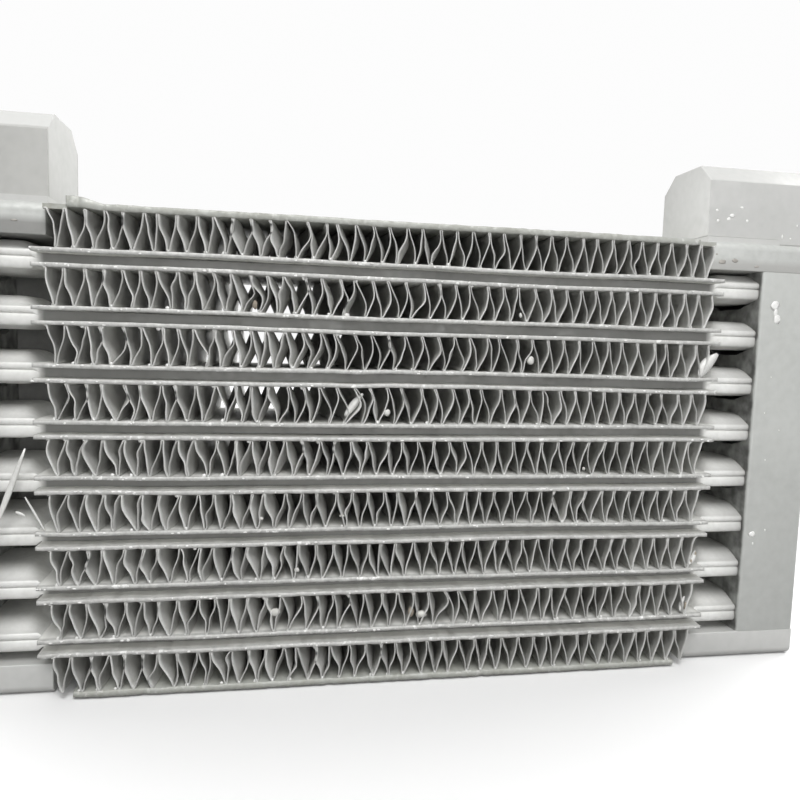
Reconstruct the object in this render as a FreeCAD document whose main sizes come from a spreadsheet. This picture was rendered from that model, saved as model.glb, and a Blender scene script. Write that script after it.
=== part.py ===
import FreeCAD, Part
import math
import os
import Sketcher
from FreeCAD import Placement, Rotation, Vector

# Tube and fin oil cooler. Flattened oil tubes run along X between two upright
# header tanks. Each tube is held between two separator sheets, and corrugated
# air fins fill the rows between the sheets. X is the width, Y runs from the
# front face to the back, and Z is up, with the base of the end bars at Z 0.

os.makedirs("parts", exist_ok=True)
doc = FreeCAD.newDocument("OilCooler")
sizes = doc.addObject("Spreadsheet::Sheet", "Sizes")
pieces = []
SAME = 0.000001  # millimetres within which two sizes count as the same

# Driving dimensions in millimetres, by their names in the sheet
DIMENSIONS = {
    # Core
    "TubeCount": 8,  # number of oil tubes
    "CoreDepth": 32.0,  # front edge to back edge of the separator sheets
    "SheetLength": 159.8,  # separator sheet, left end to right end
    "SheetThickness": 0.8,  # separator sheet
    "FinHeight": 8.2,  # air row, sheet to sheet
    "FinEndInset": 2.3,  # end of an inner row's fins behind the sheet end
    "EndRowGap": 0.4,  # end of the top or bottom row's fins to the end bar
    "FinPitch": 3.88,  # one full wave of the air fins
    "FinFoil": 0.25,  # air fin foil
    "FinInset": 0.3,  # fin edge behind the sheet edge
    "SidePlateThickness": 1.2,  # plate that closes the top or bottom row
    "SidePlateGap": 5.0,  # end of that plate to the end bar
    # Oil tubes
    "TubeThickness": 2.4,  # flattened tube, outside
    "TubeWall": 0.5,  # tube wall
    "NoseBevel": 0.5,  # bevels of the tube's blunt nose
    "OpenNose": 4.0,  # height of the nose at the tube's open end
    "CrownWidth": 9.0,  # flat top of the tube's open end
    "NoseRecess": 4.5,  # tube nose behind the sheet edge
    "FlareStart": 0.2,  # sheet end to the start of the flare
    "FlareLength": 6.5,  # length over which the tube opens out
    "FlareSpacing": 3.4,  # space between the open ends of two neighbours
    "TurbulatorPitch": 2.9,  # one full wave of the inner fins
    "TurbulatorFoil": 0.2,  # inner fin foil
    "TurbulatorInset": 1.5,  # inner fin end behind the sheet end
    # Header tanks
    "TankGap": 12.8,  # sheet end to the tank's inner face
    "TankWidth": 16.8,  # inner face to outer face
    "TankWall": 1.6,  # tank wall
    "TankMargin": 1.1,  # tank face in front of the tube nose
    "TankCorner": 0.8,  # rounding of the outer upright edges
    "BrazeGap": 0.05,  # clearance of a brazed joint
    # Air guides, which close the gap between the core and the tanks at the back
    "GuideThickness": 1.0,  # air guide
    "GuideGap": 0.4,  # sheet end to the guide
    "GuideLap": 2.3,  # lap of the guide over the tank's back face
    # End bars, which close the tanks and reach in beside the end rows
    "BarReach": 15.0,  # bar end in from the tank
    "BarProud": 0.6,  # bar face beyond the side plate
    "BarRounding": 2.2,  # rounding of the long outer edges
    "FlareGap": 0.4,  # bar to the nearest tube end
    # Port blocks
    "BlockDepth": 21.4,  # front face to back face
    "BlockHeight": 18.6,  # underside to top
    "ShoulderHeight": 4.5,  # bevel at the top, upright
    "ShoulderDepth": 4.9,  # bevel at the top, front to back
    "BlockGroove": 1.2,  # gap between the bar and the block
    "FootLength": 11.5,  # foot of the block, in from the outer face
    "SpigotRadius": 6.4,  # spigot that enters the bar
    "PortRadius": 4.5,  # threaded port, core of the thread
    "PortDepth": 12.0,  # threaded port
    "PortCountersink": 0.6,  # bevel at the port's mouth
    "PassageRadius": 3.4,  # oil way below the port
}
for row, (alias, number) in enumerate(DIMENSIONS.items(), start=1):
    sizes.set(f"A{row}", alias)
    sizes.set(f"B{row}", str(number))
    sizes.setAlias(f"B{row}", alias)
doc.recompute()

# Heights and widths that follow from the sheet
TUBE_PITCH = "(Sizes.FinHeight + 2 * Sizes.SheetThickness + Sizes.TubeThickness)"
TUBE_DEPTH = "(Sizes.CoreDepth - 2 * Sizes.NoseRecess)"
FLARE_HEIGHT = f"({TUBE_PITCH} - Sizes.FlareSpacing)"
FLARE_FROM = "(Sizes.SheetLength / 2 + Sizes.FlareStart)"
FLARE_TO = f"({FLARE_FROM} + Sizes.FlareLength)"
TANK_FACE = "(Sizes.SheetLength / 2 + Sizes.TankGap)"
TANK_OUTSIDE = f"({TANK_FACE} + Sizes.TankWidth)"
TUBE_MOUTH = f"({TANK_FACE} + Sizes.TankWall)"
TANK_MIDDLE = f"({TANK_FACE} + Sizes.TankWidth / 2)"
TANK_DEPTH = f"({TUBE_DEPTH} + 2 * Sizes.TankMargin)"
BAR_END = f"({TANK_FACE} - Sizes.BarReach)"
BAR_LENGTH = "(Sizes.BarReach + Sizes.TankWidth)"
FIN_LENGTH = "(Sizes.SheetLength - 2 * Sizes.FinEndInset)"
END_ROW_LENGTH = f"(2 * ({BAR_END} - Sizes.EndRowGap))"
SIDE_PLATE_LENGTH = f"(2 * ({BAR_END} - Sizes.SidePlateGap))"
FIRST_ROW = "(Sizes.BarProud + Sizes.SidePlateThickness)"
FIRST_TUBE = f"({FIRST_ROW} + Sizes.FinHeight + Sizes.SheetThickness + Sizes.TubeThickness / 2)"
CORE_HEIGHT = f"(2 * Sizes.SidePlateThickness + Sizes.FinHeight + Sizes.TubeCount * {TUBE_PITCH})"
BAR_TO_BAR = f"({CORE_HEIGHT} + 2 * Sizes.BarProud)"
BAR_HEIGHT = f"({FIRST_TUBE} - {FLARE_HEIGHT} / 2 - Sizes.FlareGap)"
TANK_HEIGHT = f"({BAR_TO_BAR} - 2 * {BAR_HEIGHT})"


def value(expression):
    """The number that an expression gives with the sheet as it is."""
    return float(sizes.evalExpression(expression))


def keep(piece, label):
    """Labels a finished piece, which is written to a file of that name."""
    piece.Label = label
    pieces.append(piece)
    return piece


def place(piece, x="0", y="0", z="0", turn=None):
    """Binds a piece's place to the sheet, after an optional turn about an axis."""
    if turn is not None:
        piece.Placement = Placement(Vector(), Rotation(turn, 180))
    for axis, expression in (("x", x), ("y", y), ("z", z)):
        piece.setExpression(f"Placement.Base.{axis}", expression)


def plane_of(body, role):
    """One of the body's own origin planes or axes."""
    return next(f for f in body.Origin.OriginFeatures if f.Role == role)


def new_sketch(body, name, role, offset="0"):
    """A sketch on one of the body's origin planes, moved along the plane's normal."""
    sketch = body.newObject("Sketcher::SketchObject", name)
    sketch.AttachmentSupport = [(plane_of(body, role), "")]
    sketch.MapMode = "FlatFace"
    sketch.setExpression("AttachmentOffset.Base.z", offset)
    return sketch


def pin(sketch, index, point, place, expressions):
    """Holds a point of the sketch at a place given by expressions for x and y."""
    for kind, expression, number in zip(("DistanceX", "DistanceY"), expressions, place):
        if expression is not None:
            row = sketch.addConstraint(Sketcher.Constraint(kind, -1, 1, index, point, number))
            sketch.setExpression(f"Constraints[{row}]", expression)


def outline(sketch, corners, arcs=None):
    """Closed outline whose corners are pairs of expressions, clockwise.

    Corner k joins corner k + 1 by a line, or by an arc that bulges outwards where
    arcs has the height of its centre for k. Its ends settle the centre's other place.
    """
    arcs = arcs or {}
    points = [Vector(value(x), value(y), 0) for x, y in corners]
    ends = []
    for k, start in enumerate(points):
        end = points[(k + 1) % len(points)]
        if k in arcs:
            chord = end - start
            middle = (start + end) / 2
            height = value(arcs[k])
            centre = Vector(middle.x - (height - middle.y) * chord.y / chord.x, height, 0)
            ring = Part.Circle(centre, Vector(0, 0, 1), centre.distanceToPoint(start))
            turns = [math.atan2(p.y - centre.y, p.x - centre.x) for p in (end, start)]
            index = sketch.addGeometry(Part.ArcOfCircle(ring, *turns), False)
            pin(sketch, index, 3, centre, (None, arcs[k]))
            ends.append((index, 2, 1))
        else:
            index = sketch.addGeometry(Part.LineSegment(start, end), False)
            ends.append((index, 1, 2))
    for k, (index, first, last) in enumerate(ends):
        after, after_first, _ = ends[(k + 1) % len(ends)]
        sketch.addConstraint(Sketcher.Constraint("Coincident", index, last, after, after_first))
        pin(sketch, index, first, points[k], corners[k])
    return sketch


def circle(sketch, x, y, radius):
    """Circle whose centre and radius are expressions."""
    centre = Vector(value(x), value(y), 0)
    index = sketch.addGeometry(Part.Circle(centre, Vector(0, 0, 1), value(radius)), False)
    pin(sketch, index, 3, centre, (x, y))
    row = sketch.addConstraint(Sketcher.Constraint("Radius", index, value(radius)))
    sketch.setExpression(f"Constraints[{row}]", radius)
    return sketch


def rectangle(sketch, low_x, high_x, half_y):
    """Rectangle from low_x to high_x, even about the sketch's own x axis."""
    corners = (
        (low_x, f"-({half_y})"),
        (low_x, half_y),
        (high_x, half_y),
        (high_x, f"-({half_y})"),
    )
    return outline(sketch, corners)


def extrude(body, name, sketch, length, reverse=False, even=False):
    """Pad of a length from the sheet, to one side or evenly to both."""
    pad = body.newObject("PartDesign::Pad", name)
    pad.Profile = sketch
    pad.setExpression("Length", length)
    pad.Reversed = reverse
    if even:
        pad.SideType = "Symmetric"
    return pad


def cut(body, name, sketch, length, reverse=False):
    """Pocket of a length from the sheet, or through all where there is none."""
    pocket = body.newObject("PartDesign::Pocket", name)
    pocket.Profile = sketch
    if length is None:
        pocket.Type = "ThroughAll"
        pocket.SideType = "Symmetric"
    else:
        pocket.setExpression("Length", length)
    pocket.Reversed = reverse
    return pocket


def tube_section(sketch, inset, level="0"):
    """Section of a tube's open end, seen along X: blunt bevelled noses front and
    back, from which the top and the bottom rise to a flat crown."""
    rise = f"(Sizes.OpenNose / 2 - ({inset}))"
    tip = f"({TUBE_DEPTH} / 2 - ({inset}))"
    flat = f"({tip} - Sizes.NoseBevel)"
    nose = f"({rise} - Sizes.NoseBevel)"
    crown = "Sizes.CrownWidth / 2"
    top = f"({FLARE_HEIGHT} / 2 - ({inset}))"
    corners = (
        (f"-{flat}", f"{level} + {rise}"),
        (f"-{crown}", f"{level} + {top}"),
        (crown, f"{level} + {top}"),
        (flat, f"{level} + {rise}"),
        (tip, f"{level} + {nose}"),
        (tip, f"{level} - {nose}"),
        (flat, f"{level} - {rise}"),
        (crown, f"{level} - {top}"),
        (f"-{crown}", f"{level} - {top}"),
        (f"-{flat}", f"{level} - {rise}"),
        (f"-{tip}", f"{level} - {nose}"),
        (f"-{tip}", f"{level} + {nose}"),
    )
    return outline(sketch, corners)


def pinched_bar(name, inset):
    """Bar with a tube end's section, pressed flat between the two open ends."""
    body = doc.addObject("PartDesign::Body", name)
    section = new_sketch(body, "Section", "YZ_Plane")
    tube_section(section, inset)
    extrude(body, "Bar", section, f"2 * {TUBE_MOUTH}", even=True)
    rise = f"(Sizes.TubeThickness / 2 - ({inset}))"
    top = f"({FLARE_HEIGHT} / 2 - ({inset}))"
    clear = f"({FLARE_HEIGHT} / 2 + Sizes.TubeThickness)"
    waist = new_sketch(body, "Waist", "XZ_Plane")
    for up, along in (("", ""), ("-", "-")):
        flip = "" if along else "-"
        outline(
            waist,
            (
                (f"{flip}{FLARE_FROM}", f"{up}{rise}"),
                (f"{flip}{FLARE_TO}", f"{up}{top}"),
                (f"{flip}{FLARE_TO}", f"{up}{clear}"),
                (f"{along}{FLARE_TO}", f"{up}{clear}"),
                (f"{along}{FLARE_TO}", f"{up}{top}"),
                (f"{along}{FLARE_FROM}", f"{up}{rise}"),
            ),
        )
    cut(body, "Pinch", waist, None)
    return body


def oil_tube(label, level):
    """Flattened tube whose ends open out to fill the tanks' slots."""
    tube = doc.addObject("Part::Cut", label)
    tube.Base = pinched_bar(f"{label}_outside", "0")
    tube.Tool = pinched_bar(f"{label}_hollow", "Sizes.TubeWall")
    place(tube, z=level)
    return keep(tube, label)


def foil_section(length, height, pitch, foil):
    """Corners of a corrugated foil: legs of even thickness, folded sharp at each crest.

    Both ends are crests. Returns (along, across) pairs. The fold is as tall as the foil is thick along the
    leg, which solves fold = foil * leg length / step.
    """
    waves = max(1, round(length / pitch))
    step = length / (2 * waves)
    slope = (foil / step) ** 2
    root = slope * slope * height * height + (1 - slope) * slope * (step * step + height * height)
    fold = (math.sqrt(root) - slope * height) / (1 - slope)
    upper = []
    lower = []
    for k in range(2 * waves + 1):
        along = k * step - length / 2
        crest = k % 2 == 0
        upper.append((along, height if crest else fold))
        lower.append((along, height - fold if crest else 0))
    return upper + lower[::-1]


def fin_row(label, level, length):
    """Corrugated air fins of one row, folded across the core's depth."""
    depth = value("Sizes.CoreDepth - 2 * Sizes.FinInset")
    section = foil_section(
        length, value("Sizes.FinHeight"), value("Sizes.FinPitch"), value("Sizes.FinFoil")
    )
    points = [Vector(along, -depth / 2, up) for along, up in section]
    face = Part.Face(Part.makePolygon(points + points[:1]))
    fins = doc.addObject("Part::Feature", label)
    fins.Shape = face.extrude(Vector(0, depth, 0))
    place(fins, z=level)
    return keep(fins, label)


def turbulator(label, level):
    """Inner fins, which fill the flat part of an oil tube and run along it."""
    width = value(f"{TUBE_DEPTH} - Sizes.TubeThickness")
    height = value("Sizes.TubeThickness - 2 * Sizes.TubeWall")
    length = value("Sizes.SheetLength - 2 * Sizes.TurbulatorInset")
    section = foil_section(
        width, height, value("Sizes.TurbulatorPitch"), value("Sizes.TurbulatorFoil")
    )
    points = [Vector(-length / 2, along, up) for along, up in section]
    face = Part.Face(Part.makePolygon(points + points[:1]))
    fins = doc.addObject("Part::Feature", label)
    fins.Shape = face.extrude(Vector(length, 0, 0))
    place(fins, z=level)
    return keep(fins, label)


def plate(label, length, thickness, level):
    """Flat sheet across the whole depth of the core."""
    box = doc.addObject("Part::Box", label)
    box.setExpression("Length", length)
    box.setExpression("Width", "Sizes.CoreDepth")
    box.setExpression("Height", thickness)
    place(box, x=f"-({length}) / 2", y="-Sizes.CoreDepth / 2", z=level)
    return keep(box, label)


def air_guide(label, left):
    """Flat strip behind the tube ends, on the back faces of the tank and the end bars."""
    box = doc.addObject("Part::Box", label)
    length = "(Sizes.TankGap - Sizes.GuideGap + Sizes.GuideLap)"
    inner = "(Sizes.SheetLength / 2 + Sizes.GuideGap)"
    box.setExpression("Length", length)
    box.setExpression("Width", "Sizes.GuideThickness")
    box.setExpression("Height", f"{BAR_TO_BAR} - 2 * Sizes.BarRounding")
    x = f"-({inner} + {length})" if left else inner
    place(box, x=x, y=f"{TANK_DEPTH} / 2", z="Sizes.BarRounding")
    return keep(box, label)


def header_tank(label, turn=None):
    """Rectangular tank with one slot a tube in its inner wall."""
    body = doc.addObject("PartDesign::Body", label)
    half = f"({TANK_DEPTH} / 2)"
    corner = "Sizes.TankCorner"
    wall = new_sketch(body, "TankSection", "XY_Plane")
    outline(
        wall,
        (
            (TANK_FACE, f"{corner} - {half}"),
            (TANK_FACE, f"{half} - {corner}"),
            (f"{TANK_FACE} + {corner}", half),
            (f"{TANK_OUTSIDE} - {corner}", half),
            (TANK_OUTSIDE, f"{half} - {corner}"),
            (TANK_OUTSIDE, f"{corner} - {half}"),
            (f"{TANK_OUTSIDE} - {corner}", f"-{half}"),
            (f"{TANK_FACE} + {corner}", f"-{half}"),
        ),
        {
            1: f"{half} - {corner}",
            3: f"{half} - {corner}",
            5: f"{corner} - {half}",
            7: f"{corner} - {half}",
        },
    )
    extrude(body, "Tank", wall, TANK_HEIGHT)
    inside = new_sketch(body, "TankInside", "XY_Plane")
    rectangle(
        inside,
        f"{TANK_FACE} + Sizes.TankWall",
        f"{TANK_OUTSIDE} - Sizes.TankWall",
        f"{half} - Sizes.TankWall",
    )
    cut(body, "OilSpace", inside, None)
    slot_face = new_sketch(body, "TubeSlot", "YZ_Plane", TANK_FACE)
    tube_section(slot_face, "-Sizes.BrazeGap", f"({FIRST_TUBE} - {BAR_HEIGHT})")
    slot = cut(body, "Slot", slot_face, "Sizes.TankWall", reverse=True)
    slots = body.newObject("PartDesign::LinearPattern", "Slots")
    slots.Originals = [slot]
    slots.Direction = (plane_of(body, "Z_Axis"), [""])
    slots.Mode = "Spacing"
    slots.setExpression("Offset", TUBE_PITCH)
    slots.setExpression("Occurrences", "Sizes.TubeCount")
    body.Tip = slots
    place(body, z=BAR_HEIGHT, turn=turn)
    return keep(body, label)


def end_bar(label, level, side, port, turn=None):
    """Bar that closes a tank's end and reaches in beside the end row of fins.

    Its long outer edges are rounded. A bar under a port block has the spigot's hole.
    """
    body = doc.addObject("PartDesign::Body", label)
    half = f"({TANK_DEPTH} / 2)"
    rounding = "Sizes.BarRounding"
    up = "" if side > 0 else "-"
    section = new_sketch(body, "BarSection", "YZ_Plane", BAR_END)
    outer = f"{up}{BAR_HEIGHT}"
    shoulder = f"{up}({BAR_HEIGHT} - {rounding})"
    corners = [
        (f"-{half}", "0"),
        (f"-{half}", shoulder),
        (f"{rounding} - {half}", outer),
        (f"{half} - {rounding}", outer),
        (half, shoulder),
        (half, "0"),
    ]
    if side < 0:
        corners.reverse()
    outline(section, corners, {1: shoulder, 3: shoulder})
    extrude(body, "Bar", section, BAR_LENGTH)
    if port:
        hole = new_sketch(body, "SpigotHole", "XY_Plane")
        circle(hole, TANK_MIDDLE, "0", "Sizes.SpigotRadius + Sizes.BrazeGap")
        cut(body, "Hole", hole, None)
    place(body, z=level, turn=turn)
    return keep(body, label)


def port_block(label, turn=None):
    """Block with a bevelled top, a foot and a spigot that enters the bar below it.

    The threaded port opens in the top, and a narrower oil way leads on to the tank.
    """
    body = doc.addObject("PartDesign::Body", label)
    half = "(Sizes.BlockDepth / 2)"
    top = "Sizes.BlockHeight"
    section = new_sketch(body, "BlockSection", "YZ_Plane", BAR_END)
    outline(
        section,
        (
            (f"-{half}", "0"),
            (f"-{half}", f"{top} - Sizes.ShoulderHeight"),
            (f"Sizes.ShoulderDepth - {half}", top),
            (f"{half} - Sizes.ShoulderDepth", top),
            (half, f"{top} - Sizes.ShoulderHeight"),
            (half, "0"),
        ),
    )
    extrude(body, "Block", section, BAR_LENGTH)
    sole = new_sketch(body, "FootSection", "XY_Plane")
    rectangle(sole, f"{TANK_OUTSIDE} - Sizes.FootLength", TANK_OUTSIDE, half)
    extrude(body, "Foot", sole, "Sizes.BlockGroove", reverse=True)
    peg = new_sketch(body, "SpigotSection", "XY_Plane")
    circle(peg, TANK_MIDDLE, "0", "Sizes.SpigotRadius")
    extrude(body, "Spigot", peg, f"Sizes.BlockGroove + {BAR_HEIGHT}", reverse=True)
    way = new_sketch(body, "PassageSection", "XY_Plane")
    circle(way, TANK_MIDDLE, "0", "Sizes.PassageRadius")
    cut(body, "Passage", way, None)
    mouth = new_sketch(body, "PortSection", "XY_Plane", top)
    circle(mouth, TANK_MIDDLE, "0", "Sizes.PortRadius")
    port = cut(body, "Port", mouth, "Sizes.PortDepth")
    doc.recompute()
    rim = next(
        f"Edge{k + 1}"
        for k, edge in enumerate(port.Shape.Edges)
        if isinstance(edge.Curve, Part.Circle)
        and abs(edge.Curve.Radius - value("Sizes.PortRadius")) < SAME
        and abs(edge.Curve.Center.z - value(top)) < SAME
    )
    bevel = body.newObject("PartDesign::Chamfer", "MouthBevel")
    bevel.Base = (port, [rim])
    bevel.setExpression("Size", "Sizes.PortCountersink")
    body.Tip = bevel
    place(body, z=f"{BAR_TO_BAR} + Sizes.BlockGroove", turn=turn)
    return keep(body, label)


# The left-hand pieces are the right-hand ones turned half a turn about the Z axis.
ABOUT_Z = Vector(0, 0, 1)
for hand, turn in (("right", None), ("left", ABOUT_Z)):
    header_tank(f"header_tank_{hand}", turn)
    end_bar(f"top_bar_{hand}", f"{BAR_TO_BAR} - {BAR_HEIGHT}", 1, True, turn)
    end_bar(f"bottom_bar_{hand}", BAR_HEIGHT, -1, False, turn)
    port_block(f"port_block_{hand}", turn)
    air_guide(f"air_guide_{hand}", hand == "left")

plate("bottom_side_plate", SIDE_PLATE_LENGTH, "Sizes.SidePlateThickness", "Sizes.BarProud")
plate(
    "top_side_plate",
    SIDE_PLATE_LENGTH,
    "Sizes.SidePlateThickness",
    f"{BAR_TO_BAR} - Sizes.BarProud - Sizes.SidePlateThickness",
)

# Tubes and fin rows are numbered from the top.
tube_count = int(value("Sizes.TubeCount"))
for number in range(1, tube_count + 1):
    middle = f"{FIRST_TUBE} + {tube_count - number} * {TUBE_PITCH}"
    oil_tube(f"oil_tube_{number}", middle)
    turbulator(f"turbulator_{number}", f"{middle} - Sizes.TubeThickness / 2 + Sizes.TubeWall")
    plate(
        f"upper_sheet_{number}",
        "Sizes.SheetLength",
        "Sizes.SheetThickness",
        f"{middle} + Sizes.TubeThickness / 2",
    )
    plate(
        f"lower_sheet_{number}",
        "Sizes.SheetLength",
        "Sizes.SheetThickness",
        f"{middle} - Sizes.TubeThickness / 2 - Sizes.SheetThickness",
    )
for number in range(1, tube_count + 2):
    end_row = number in (1, tube_count + 1)
    length = value(END_ROW_LENGTH if end_row else FIN_LENGTH)
    fin_row(f"fin_row_{number}", f"{FIRST_ROW} + {tube_count + 1 - number} * {TUBE_PITCH}", length)

doc.recompute()
failed = [o.Label for o in doc.Objects if {"Invalid", "Error"} & set(o.State)]
if failed:
    raise RuntimeError(f"not built: {failed}")
for piece in pieces:
    if piece.Shape.isNull() or not piece.Shape.isValid():
        raise RuntimeError(f"bad shape: {piece.Label}")
for piece in pieces:
    piece.Shape.exportStep(os.path.join("parts", f"{piece.Label}.step"))
print(f"{len(pieces)} pieces written")
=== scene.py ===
import math

import bmesh
import bpy
import numpy as np
from mathutils import Matrix, Vector


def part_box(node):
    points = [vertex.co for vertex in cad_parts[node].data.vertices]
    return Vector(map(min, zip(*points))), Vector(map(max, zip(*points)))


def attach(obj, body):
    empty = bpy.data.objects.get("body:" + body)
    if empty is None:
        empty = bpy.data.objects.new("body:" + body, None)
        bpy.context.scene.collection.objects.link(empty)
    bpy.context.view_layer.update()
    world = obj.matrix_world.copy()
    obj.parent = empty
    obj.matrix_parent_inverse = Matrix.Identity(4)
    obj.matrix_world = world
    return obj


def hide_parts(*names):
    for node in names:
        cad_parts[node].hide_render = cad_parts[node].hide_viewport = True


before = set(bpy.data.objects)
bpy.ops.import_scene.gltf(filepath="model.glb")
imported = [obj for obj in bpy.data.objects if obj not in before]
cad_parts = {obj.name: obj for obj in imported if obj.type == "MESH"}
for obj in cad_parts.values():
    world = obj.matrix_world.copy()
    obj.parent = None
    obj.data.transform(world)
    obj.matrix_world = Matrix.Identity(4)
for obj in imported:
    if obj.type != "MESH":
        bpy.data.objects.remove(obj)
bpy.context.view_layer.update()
MM = 0.001
TUBES = range(1, 9)
ROWS = range(1, 10)
HANDS = ("left", "right")

# Sizes read from the CAD nodes, in metres
SHEET_LOW, SHEET_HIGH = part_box("upper_sheet_1")
SHEET_END = SHEET_HIGH.x
TUBE_LOW, TUBE_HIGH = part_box("oil_tube_1")
FLARE_HALF = (TUBE_HIGH.z - TUBE_LOW.z) / 2
TUBE_HALF = (SHEET_LOW.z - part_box("lower_sheet_1")[1].z) / 2
TUBE_FRONT = TUBE_LOW.y

# Sizes of the details, in metres
NOSE_TOP, NOSE_SEAM, NOSE_BOTTOM = 2.0 * MM, 0.4 * MM, -2.25 * MM
NOSE_ROUND = 0.5 * MM
FLARE_START = SHEET_END + 0.2 * MM
FLARE_LENGTH = 6.5 * MM
FOLDS = 80
FOLD_RADIUS = 0.25 * MM
FOLD_RISE = 0.10 * MM
FOIL = 0.26 * MM
BAR_EDGE = 0.25 * MM
BLOCK_EDGE = 0.35 * MM

# Points of a fin row: at which shares of its depth from the front, and how many round a fold
# and along a leg
DEPTHS = np.array([0.0, 0.03, 0.08, 0.16, 0.26, 0.40, 0.55, 0.70, 0.85, 1.0])[None, :]
FOLD_POINTS = 5
LEG_POINTS = 9

# How much of the damage at the front reaches each depth
FRONTNESS = np.exp(-10 * DEPTHS)

# Where the camera stands along the core, to the nearest millimetre
VIEW_X = -27 * MM

# Random lines reach this far to both sides of the middle.
REACH = 120 * MM

# Stations along a sheet, nicks in one of its edges, and the edge's profile from bottom to
# top: heights as shares of half the thickness, and how far each stands back in millimetres
SHEET_STATIONS = 430
EDGE_NICKS = 26
EDGE_PROFILE = ((-1.0, 0.16), (-0.88, 0.02), (0.0, 0.0), (0.88, 0.02), (1.0, 0.16))

# How far the fin legs bulge to the right in millimetres, row by row from the top, at three
# places in x: at the left, in the middle and at the right of the core
BOW_PLACES = (-55 * MM, -5 * MM, 55 * MM)
BOWS = (
    (0.45, 0.20, 0.05),
    (0.40, 0.55, 0.15),
    (0.60, 0.65, 0.10),
    (0.60, 0.50, -0.05),
    (-0.15, -0.10, -0.65),
    (-0.10, -0.20, -0.65),
    (-0.15, -0.40, -0.60),
    (0.20, 0.25, -0.35),
    (0.10, 0.00, -0.20),
)

# Dented fins: row, x and reach along the row, push to the right (all mm), height as a share
# of the row and spread of the dent as a share of the row
DENTS = (
    (1, 52.5, 1.4, 0.9, 0.25, 0.22),
    (1, 56.5, 1.8, -1.2, 0.30, 0.20),
    (1, -24.0, 3.0, 0.8, 0.65, 0.25),
    (1, 22.0, 1.6, 0.8, 0.45, 0.20),
    (2, 27.8, 1.5, -0.8, 0.45, 0.25),
    (2, -33.5, 2.5, 1.2, 0.40, 0.30),
    (2, 64.0, 2.0, 0.7, 0.45, 0.20),
    (3, 29.0, 1.5, -1.0, 0.55, 0.25),
    (3, 33.0, 1.6, 0.9, 0.60, 0.25),
    (3, -58.0, 2.0, 0.8, 0.50, 0.30),
    (4, -12.0, 3.2, 1.3, 0.55, 0.30),
    (4, -6.0, 2.0, -1.0, 0.40, 0.30),
    (4, 38.0, 1.6, 0.8, 0.45, 0.22),
    (5, -8.0, 3.5, 0.9, 0.60, 0.30),
    (5, 14.0, 2.2, 0.9, 0.50, 0.25),
    (6, -20.0, 4.0, -0.9, 0.45, 0.30),
    (6, 12.0, 2.0, 1.0, 0.50, 0.28),
    (6, 46.0, 2.2, -0.8, 0.45, 0.25),
    (7, -29.0, 2.4, 0.9, 0.40, 0.28),
    (7, 31.0, 2.0, 0.6, 0.50, 0.25),
    (8, 12.5, 2.6, 1.0, 0.55, 0.35),
    (8, 60.0, 2.2, 0.9, 0.40, 0.25),
)


def middle_of(tube):
    """Height of a tube's middle plane."""
    low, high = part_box(f"oil_tube_{tube}")
    return (low.z + high.z) / 2


def smooth(x):
    """Eases from 0 to 1 while x goes from 0 to 1, flat at both ends."""
    x = np.clip(x, 0.0, 1.0)
    return x * x * (3 - 2 * x)


def wander(x, step, amount, seed):
    """Smooth random line along x: eased steps between random heights one step apart."""
    place = (x + REACH) / step
    heights = np.random.default_rng(seed).uniform(-amount, amount, int(2 * REACH / step) + 3)
    cell = np.floor(place).astype(int)
    part = smooth(place - cell)
    return heights[cell] * (1 - part) + heights[cell + 1] * part


def lift(x, tube):
    """How far a tube and its sheets stand above their true height at x, in metres.

    A slow and a quick wave that end at the tube's open ends, and one dip in tube 3.
    """
    slow = wander(x, 38 * MM, 0.22 * MM, 100 + tube)
    quick = wander(x, 9 * MM, 0.06 * MM, 200 + tube)
    ends = smooth((SHEET_END + 3 * MM - np.abs(x)) / (12 * MM))
    dip = -0.25 * MM * np.exp(-(((x + 11 * MM) / (5 * MM)) ** 2)) if tube == 3 else 0.0
    return (slow + quick + dip) * ends


def grid_faces(rows, columns):
    """Quads of a grid of points numbered row by row, the last column joined to the first."""
    row = np.arange(rows - 1)[:, None]
    column = np.arange(columns)[None, :]
    a = row * columns + column
    b = row * columns + (column + 1) % columns
    return np.stack([a, b, b + columns, a + columns], -1).reshape(-1, 4)


def add_piece(name, mesh, material, nodes):
    """Shows a mesh as a piece that rides on the cooler and may stand for CAD nodes."""
    mesh.materials.clear()
    mesh.materials.append(material)
    piece = bpy.data.objects.new(name, mesh)
    bpy.context.scene.collection.objects.link(piece)
    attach(piece, "root")
    if nodes:
        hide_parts(*nodes)
    return piece


def link_mesh(name, points, faces, material, nodes):
    """Smooth piece made from points and faces, which face outwards."""
    mesh = bpy.data.meshes.new(name)
    mesh.from_pydata(points.reshape(-1, 3).tolist(), [], faces)
    shell = bmesh.new()
    shell.from_mesh(mesh)
    bmesh.ops.recalc_face_normals(shell, faces=shell.faces)
    shell.to_mesh(mesh)
    shell.free()
    mesh.polygons.foreach_set("use_smooth", np.full(len(mesh.polygons), True))
    return add_piece(name, mesh, material, nodes)


def closed_tube_faces(stations, ring):
    """Side quads and two end faces of a tube of rings."""
    faces = grid_faces(stations, ring).tolist()
    faces.append(list(range(ring)))
    faces.append([(stations - 1) * ring + k for k in range(ring)])
    return faces


# Materials


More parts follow.
